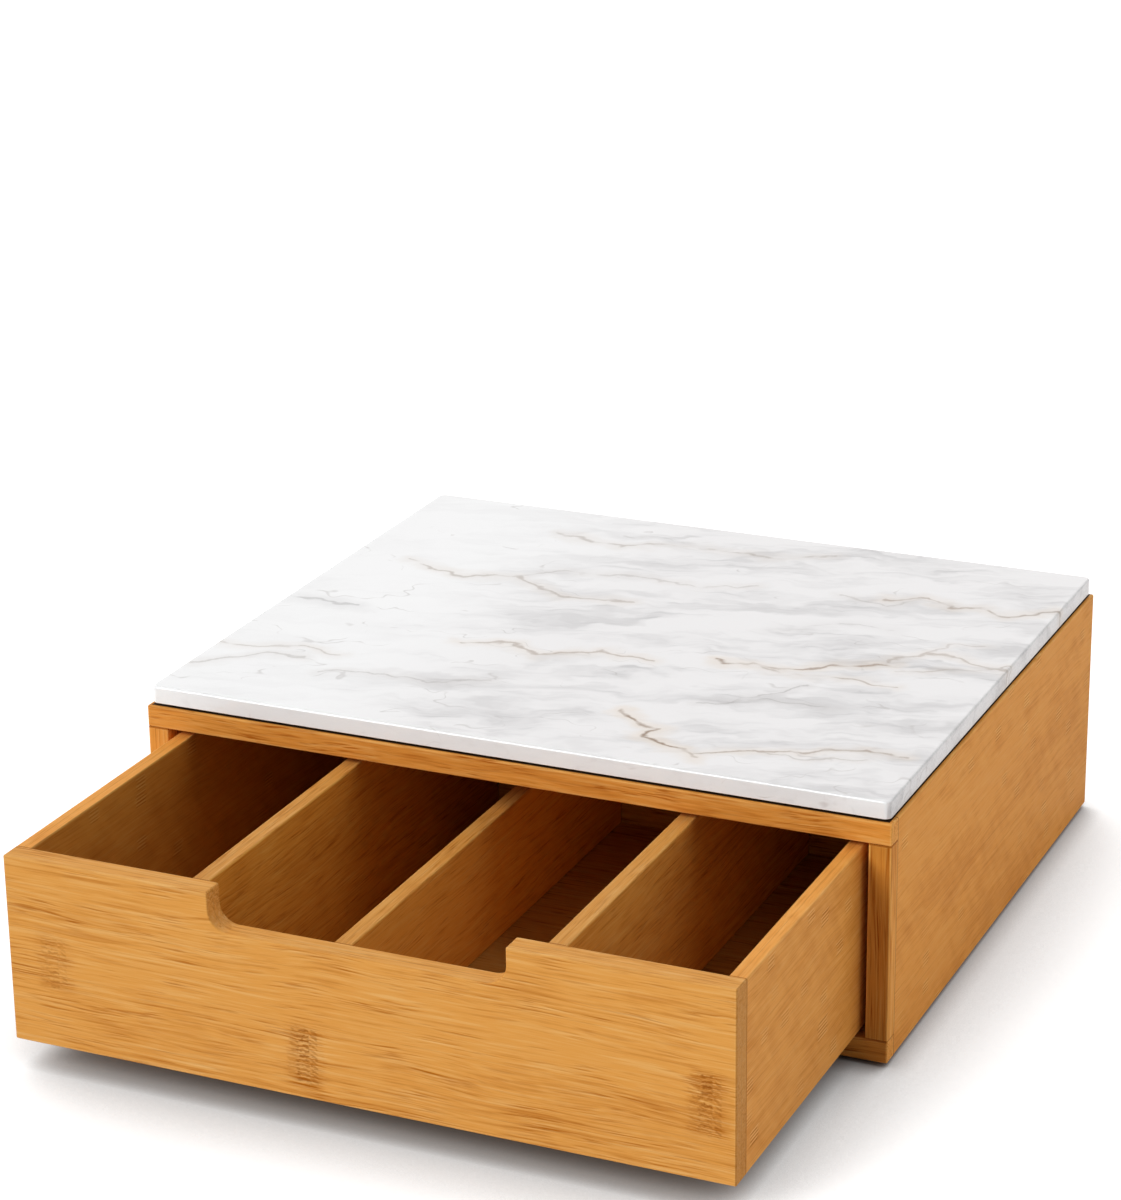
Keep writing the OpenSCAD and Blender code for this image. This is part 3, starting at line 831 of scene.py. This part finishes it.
# painted shade in the compartments: the dividers' tone and their cheeks are darker, the left divider darkest
dividerLook = {"ply": 4, "strip": 26, "shift": 9, "tone": (0.71, 0.655, 0.60, 1), "streak": 0.7}
dividers = {
    "divider_left": {"seed": 53, "cheek": (0.72, 0.63, 0.38, 1)},
    "divider_middle": {"seed": 57, "cheek": (0.78, 0.71, 0.50, 1)},
    "divider_right": {"seed": 59, "cheek": (0.86, 0.80, 0.64, 1)},
}
for node, own in dividers.items():
    bambooBoard(node, "yzx", {**dividerLook, **own}, ["-y", "+y"])
print("drawer boards cut")

# where the painted shadow under the slab falls on the case's top faces
slabShadowPlace = (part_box("case_left_side")[1].z / mm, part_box("case_right_side")[1].x / mm,
            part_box("front_top_rail")[0].y / mm)
caseSideLook = {**sideLook, "strip": 27, "shift": 5, "tone": caseTone, "seat": slabShadowPlace}
for node, seed, inner in (("case_left_side", 31, "+x"), ("case_right_side", 35, "-x")):
    bambooBoard(node, "yzx", {**caseSideLook, "seed": seed}, ["-y", inner], joint=caseJoint,
                grooves=[rebateBox])

# painted shade: the case's top and bottom boards are toned darker, for the dark inside of the case
levelBoardLook = {"knuckles": boardKnuckles, "tone": (0.72, 0.65, 0.58, 1)}
for node, seed in (("case_top_board", 61), ("case_bottom_board", 63)):
    bambooBoard(node, "xyz", {**levelBoardLook, "seed": seed}, ["-y", "-x", "+x"], grooves=[rebateBox])

# painted shade: the back panel is toned darker, for the dark inside of the case
backPanelLook = {"strip": 24, "knuckles": backKnuckles, "seed": 67, "tone": (0.72, 0.66, 0.62, 1),
                 "streak": 0.7}
bambooBoard("case_back_panel", "xzy", backPanelLook, arris=0.4)

railLook = {"strip": 20, "shift": 8, "wear": 0.50, "endShare": 0.0, "cheek": caseTone, "seat": slabShadowPlace}
rails = {
    "front_top_rail": {"seed": 11, "tone": (0.80, 0.67, 0.52, 1)},
    # painted shade: the bottom rail is toned darker than the top rail, for the shade under the drawer
    "front_bottom_rail": {"seed": 13, "tone": (0.67, 0.55, 0.40, 1)},
}
for node, own in rails.items():
    bambooBoard(node, "xzy", {**railLook, **own}, ["+y"], arris=0.7, joint=caseJoint)

stileLook = {"strip": 6, "shift": 1.2, "streakLong": 50, "streakWide": 0.9, "streak": 1.5, "wear": 0.50,
             "cheek": caseTone}
stiles = {
    "front_left_stile": {"seed": 23, "tone": (0.81, 0.70, 0.57, 1)},
    # painted shadow: the right stile's front is toned darker, standing in for the drawer's shadow on it; its
    # cheeks keep the case tone
    "front_right_stile": {"seed": 25, "tone": (0.63, 0.515, 0.345, 1)},
}
for node, own in stiles.items():
    bambooBoard(node, "zxy", {**stileLook, **own}, ["+y", "-z", "+z"], arris=0.7, joint=caseJoint)

bambooBoard("drawer_stop_block", "xyz", {"seed": 73}, arris=1.0)
for node in ("glide_strip_left", "glide_strip_right"):
    makeBoard(node, finishes["glideNylon"], arris=0.5)
print("case boards cut")


slab = {"corner": 3.0, "arris": 1.1, "under": 0.35}  # mm


def slabOutline():
    low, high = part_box("stone_slab")
    r = slab["corner"] * mm
    right, left, back, front = high.x - r, low.x + r, high.y - r, low.y + r
    centres = [(right, front), (right, back), (left, back), (left, front)]
    return [pair for number, (x, y) in enumerate(centres)
            for pair in arc(x, y, r, number * 90 - 90, number * 90, steps=8)]


makeBoard("stone_slab", finishes["whiteStone"], ["-z"], arris=slab["arris"], joint=slab["under"],
          outline=slabOutline(), axis="z")
print("slab polished")


def turnedTree(name, sizes, rings, sides, shape, finish, slotCut=None):
    # copies of a turned or moulded piece on the given places; shape gives its radius and height
    # from the ring's number and the angle round the axis
    tree = bpy.data.node_groups.new(name, "GeometryNodeTree")
    tree.interface.new_socket("Places", in_out="INPUT", socket_type="NodeSocketGeometry")
    for size in sizes:
        tree.interface.new_socket(size, in_out="INPUT", socket_type="NodeSocketFloat")
    tree.interface.new_socket("Pieces", in_out="OUTPUT", socket_type="NodeSocketGeometry")
    work = NodeWork(tree)
    given = work.add("NodeGroupInput").socket.node
    value = {size: Wire(work, given.outputs[size]) for size in sizes}
    grid = work.add("GeometryNodeMeshGrid", {"Size X": 1, "Size Y": 1, "Vertices X": rings,
                                             "Vertices Y": sides + 1})
    gridX, gridY = parted(work, work.add("GeometryNodeInputPosition"))[:2]
    ring = (gridX + 0.5) * (rings - 1)
    angle = (gridY + 0.5) * math.tau
    radius, height = shape(value, ring, angle)
    placed = work.add("GeometryNodeSetPosition", {
        "Geometry": grid, "Position": work.point(radius * angle.cosine(), radius * angle.sine(), height)})
    closed = work.add("GeometryNodeMergeByDistance", {"Geometry": placed, "Distance": hair})
    if slotCut:
        closed = slotCut(work, value, closed)
    turn = work.add("GeometryNodeInputNamedAttribute", {"Name": "turn"}, data_type="FLOAT_VECTOR")
    rotation = work.add("FunctionNodeEulerToRotation", {0: turn})
    copies = work.add("GeometryNodeInstanceOnPoints", {
        "Points": Wire(work, given.outputs["Places"]), "Instance": closed, "Rotation": rotation})
    real = work.add("GeometryNodeRealizeInstances", {"Geometry": copies})
    dressed = work.add("GeometryNodeSetMaterial", {"Geometry": real, "Material": finishes[finish]})
    work.add("NodeGroupOutput", {"Pieces": dressed})
    return tree


def evenly(ring, values):  # a value that runs evenly from ring to ring
    total = values[0]
    for number, (before, after) in enumerate(zip(values, values[1:])):
        total = total + (after - before) * (ring - number).clip()
    return total


def bakePieces(name, tree, node, finish, places, turns, sizes, sharpAngle=35):
    points = bpy.data.meshes.new(name + "Places")
    points.from_pydata([tuple(place) for place in places], [], [])
    turned = points.attributes.new("turn", "FLOAT_VECTOR", "POINT")
    for number, turn in enumerate(turns):
        turned.data[number].vector = turn.to_euler()
    piece = newObject(name, points)
    nodes = piece.modifiers.new("turned", "NODES")
    nodes.node_group = tree
    for socket in tree.interface.items_tree:
        if socket.in_out == "INPUT" and socket.name in sizes:
            nodes[socket.identifier] = sizes[socket.name]
    mesh = freeze(piece)
    work = bmesh.new()
    work.from_mesh(mesh)
    bmesh.ops.recalc_face_normals(work, faces=work.faces)
    work.to_mesh(mesh)
    work.free()
    finishPiece(piece, node, finishes[finish], sharpAngle)


def seats(node, axis, sign):
    # where each solid starts, one's reach along that axis, and its sizes, least to most
    boxes = solidsOf(node)
    size = boxes[0][1] - boxes[0][0]
    return [startOf(*box, axis, sign) for box in boxes], size[axisNumber[axis]], sorted(size)


# dowels, fluted, with bevelled ends
dowel = {"Flute Depth": 0.16 * mm, "Flutes": 14.0, "Bevel": 0.6 * mm}


def dowelShape(value, ring, angle):
    radius, bevel, length = value["Diameter"] / 2, value["Bevel"], value["Length"]
    flute = ((angle * value["Flutes"]).cosine() * 0.5 + 0.5) * value["Flute Depth"]
    body = evenly(ring, [0.0, 1.0, 1.0, 1.0, 1.0, 0.0])
    bare = evenly(ring, [radius * 0, radius - bevel, radius, radius, radius - bevel, radius * 0])
    return bare - flute * body, evenly(ring, [bevel * 0, bevel * 0, bevel, length - bevel, length, length])


dowelTree = turnedTree("flutedDowel", ["Diameter", "Length", *dowel], rings=6, sides=84,
                       shape=dowelShape, finish="dowelWood")
for node in dowelNodes:
    boxes = solidsOf(node)
    axes = [longAxis(*box) for box in boxes]
    places = [startOf(*box, axis) for box, axis in zip(boxes, axes)]
    turns = [turnTo(axis) for axis in axes]
    sizes = sorted(boxes[0][1] - boxes[0][0])
    bakePieces(node + "_fluted", dowelTree, node, "dowelWood", places, turns,
               {"Diameter": sizes[0], "Length": sizes[2], **dowel})

# countersunk screws, with a cut thread and a cross slot
screw = {"Core Radius": 0.85 * mm, "Thread Radius": joinery["threadRadius"], "Pitch": 1.1 * mm,
         "Neck": 0.45, "Run In": 0.6 * mm, "Tip": 3.0 * mm,  # the neck is a share of the head
         "Slot Length": 3.1 * mm, "Slot Width": 0.7 * mm, "Slot Depth": 0.75 * mm}
screwRings = 90


def screwShape(value, ring, angle):
    depth = value["Length"] * ((ring - 1) / (screwRings - 2)).clip()
    left = value["Length"] - depth
    taper = (left / value["Tip"]).clip()
    head = value["Head Diameter"] / 2 - depth
    turn = depth / value["Pitch"] + angle / math.tau
    ridge = 1 - abs((turn - turn.floor()) * 2 - 1)
    cutThread = (depth - value["Head Diameter"] * value["Neck"]).step(0, value["Run In"])
    rise = value["Thread Radius"] - value["Core Radius"]
    shank = value["Core Radius"] + rise * (1 - cutThread) + rise * ridge.step(0.45, 0.95) * cutThread
    return head.most(shank * taper) * ring.clip(), -depth


def crossSlot(work, value, closed):
    for turned in (0.0, math.pi / 2):
        size = work.point(value["Slot Length"], value["Slot Width"], value["Slot Depth"] * 2)
        bar = work.add("GeometryNodeMeshCube", {"Size": size})
        arm = work.add("GeometryNodeTransform", {"Geometry": bar, "Rotation": (0, 0, turned)})
        closed = work.add("GeometryNodeMeshBoolean", {"Mesh 1": closed, "Mesh 2": arm},
                          operation="DIFFERENCE", solver="EXACT")
    return closed


screwTree = turnedTree("countersunkScrew", ["Length", "Head Diameter", *screw], rings=screwRings, sides=20,
                       shape=screwShape, finish="screwSteel", slotCut=crossSlot)
for node, (axis, sign) in screwNodes.items():
    places, length, sizes = seats(node, axis, -sign)
    bakePieces(node + "_cut", screwTree, node, "screwSteel", places, [turnTo(axis, sign)] * len(places),
               {"Length": length, "Head Diameter": sizes[0], **screw})

# feet, with a bevelled rim and a dished face
foot = {"Bevel": 0.3 * mm, "Dish": 0.4 * mm, "Rim": 3.0 * mm, "Slope": 1.2}


def footShape(value, ring, angle):
    radius, tall = value["Diameter"] / 2, value["Height"]
    return (evenly(ring, [radius * 0, radius, radius, radius - value["Bevel"], radius - value["Rim"],
                          radius - value["Rim"] * value["Slope"], radius * 0]),
            evenly(ring, [tall * 0, tall * 0, tall - value["Bevel"], tall, tall,
                          tall - value["Dish"], tall - value["Dish"]]))


footTree = turnedTree("ringFoot", ["Diameter", "Height", *foot], rings=7, sides=48,
                      shape=footShape, finish="footRubber")
places, tall, sizes = seats("feet", "z", -1)
bakePieces("feet_moulded", footTree, "feet", "footRubber", places, [turnTo("z", -1)] * len(places),
           {"Diameter": sizes[2], "Height": tall, **foot})

# soft pads, with a rounded free rim
softPad = {"Round": 0.35, "Shoulder": 0.3}  # rounded share of the height, and its own bend


def padShape(value, ring, angle):
    radius, tall, soft = value["Diameter"] / 2, value["Height"], value["Height"] * value["Round"]
    bend = soft * value["Shoulder"]
    return (evenly(ring, [radius * 0, radius, radius, radius - bend, radius - soft, radius * 0]),
            evenly(ring, [tall * 0, tall * 0, tall - soft, tall - bend, tall, tall]))


padTree = turnedTree("softPad", ["Diameter", "Height", *softPad], rings=6, sides=40,
                     shape=padShape, finish="clearPad")
for node, axis, sign in (("slab_pads", "z", 1), ("drawer_bumpers", "y", -1)):
    places, tall, sizes = seats(node, axis, sign)
    bakePieces(node + "_moulded", padTree, node, "clearPad", places, [turnTo(axis, sign)] * len(places),
               {"Diameter": sizes[2], "Height": tall, **softPad}, sharpAngle=50)
print("turned and moulded pieces baked")


def rayShare(work):  # 1 for what the camera, gloss and clear glass see
    path = work.add("ShaderNodeLightPath").socket.node
    camera, gloss, glass = (Wire(work, path.outputs["Is " + kind + " Ray"])
                            for kind in ("Camera", "Glossy", "Transmission"))
    return camera.most(gloss).most(glass)


studio = {
    "floorSize": 12.0,  # metres
    "floorWhite": 0.80,  # what the floor sends back to the object
    "seenWhite": (0.285, 0.272, 0.262, 1),  # what the camera sees of it, lit by the lamps
    "seenGlow": 1.75,  # and of its own light, where the floor is open
    "nearFloor": 0.25,  # reach of the wide soft shadow, metres
    "atFoot": 0.012,  # reach of the dark line under the pieces
    # broad walls of light: the way to each, and its strength
    "walls": [((0.99, 0, 0.15), 0.34), ((-0.99, 0, 0.15), 0.12), ((0, -0.99, 0.15), 0.12),
              ((0, 0.99, 0.15), 1.90), ((0, 0, 1), 0.12)],
    # soft lamps far away: the way to each, its strength, and how wide it looks in degrees
    "lamps": [((-0.45, -0.70, 0.555), 2.47, 30), ((0.60, 0.10, 0.79), 0.25, 30)],
}


def makeFloor():
    work = bmesh.new()
    bmesh.ops.create_grid(work, x_segments=4, y_segments=4, size=studio["floorSize"] / 2)
    floor = toObject(work, "floor")
    material, paint = newFinish("paleFloor")
    plain = paint.add("ShaderNodeBsdfDiffuse", {"Color": (*[studio["floorWhite"]] * 3, 1)})
    pale = paint.add("ShaderNodeBsdfDiffuse", {"Color": studio["seenWhite"]})
    openness, touch = (
        paint.add("ShaderNodeAmbientOcclusion", {"Distance": studio[reach]}, "AO", samples=samples)
        for reach, samples in (("nearFloor", 12), ("atFoot", 8)))
    shine = (openness * openness * studio["seenGlow"]).least(1) * touch
    glow = paint.add("ShaderNodeEmission", {"Color": (1, 1, 1, 1), "Strength": shine})
    seen = paint.add("ShaderNodeAddShader", {0: pale, 1: glow})
    mixed = paint.add("ShaderNodeMixShader", {0: rayShare(paint), 1: plain, 2: seen})
    paint.add("ShaderNodeOutputMaterial", {"Surface": mixed})
    floor.data.materials.append(material)


def makeLight():
    world = bpy.data.worlds.new("studio")
    bpy.context.scene.world = world
    world.use_nodes = True
    work = NodeWork(world.node_tree)
    place = work.add("ShaderNodeTexCoord", out="Generated")
    room = 0
    for direction, power in studio["walls"]:
        facing = work.vector("DOT_PRODUCT", place, direction, out=1).clip()
        room = room + facing * facing * power
    share = rayShare(work)
    strength = share + (1 - share) * room
    back = work.add("ShaderNodeBackground", {"Color": (1, 1, 1, 1), "Strength": strength})
    work.add("ShaderNodeOutputWorld", {"Surface": back})
    for direction, power, wide in studio["lamps"]:
        lamp = bpy.data.lights.new("softLamp", "SUN")
        lamp.energy = power
        lamp.angle = math.radians(wide)
        newObject("softLamp", lamp).rotation_euler = Vector(direction).to_track_quat("Z", "Y").to_euler()


lookout = {
    "place": (0.58093, -1.30476, 0.67309),  # metres
    "azimuth": 24.289, "elevation": 19.833, "roll": -0.763,  # degrees
    "lens": 102.99, "sensor": 36.0,  # mm
    "near": 0.05, "far": 50,  # metres
}


def makeCamera():
    azimuth, elevation, roll = (math.radians(lookout[name]) for name in ("azimuth", "elevation", "roll"))
    back = Vector((math.sin(azimuth) * math.cos(elevation), -math.cos(azimuth) * math.cos(elevation),
                   math.sin(elevation)))
    right = (-back).cross(Vector((0, 0, 1))).normalized()
    up = right.cross(-back)
    leaned = right * math.cos(roll) + up * math.sin(roll)
    upright = up * math.cos(roll) - right * math.sin(roll)
    camera = newObject("camera", bpy.data.cameras.new("camera"))
    camera.data.lens = lookout["lens"]
    camera.data.sensor_width = lookout["sensor"]
    camera.data.clip_start = lookout["near"]
    camera.data.clip_end = lookout["far"]
    turned = Matrix((leaned, upright, back)).transposed().to_4x4()
    camera.matrix_world = Matrix.Translation(lookout["place"]) @ turned
    bpy.context.scene.camera = camera


makeFloor()
makeLight()
makeCamera()
bpy.context.scene.view_settings.view_transform = "Standard"
print("studio set")
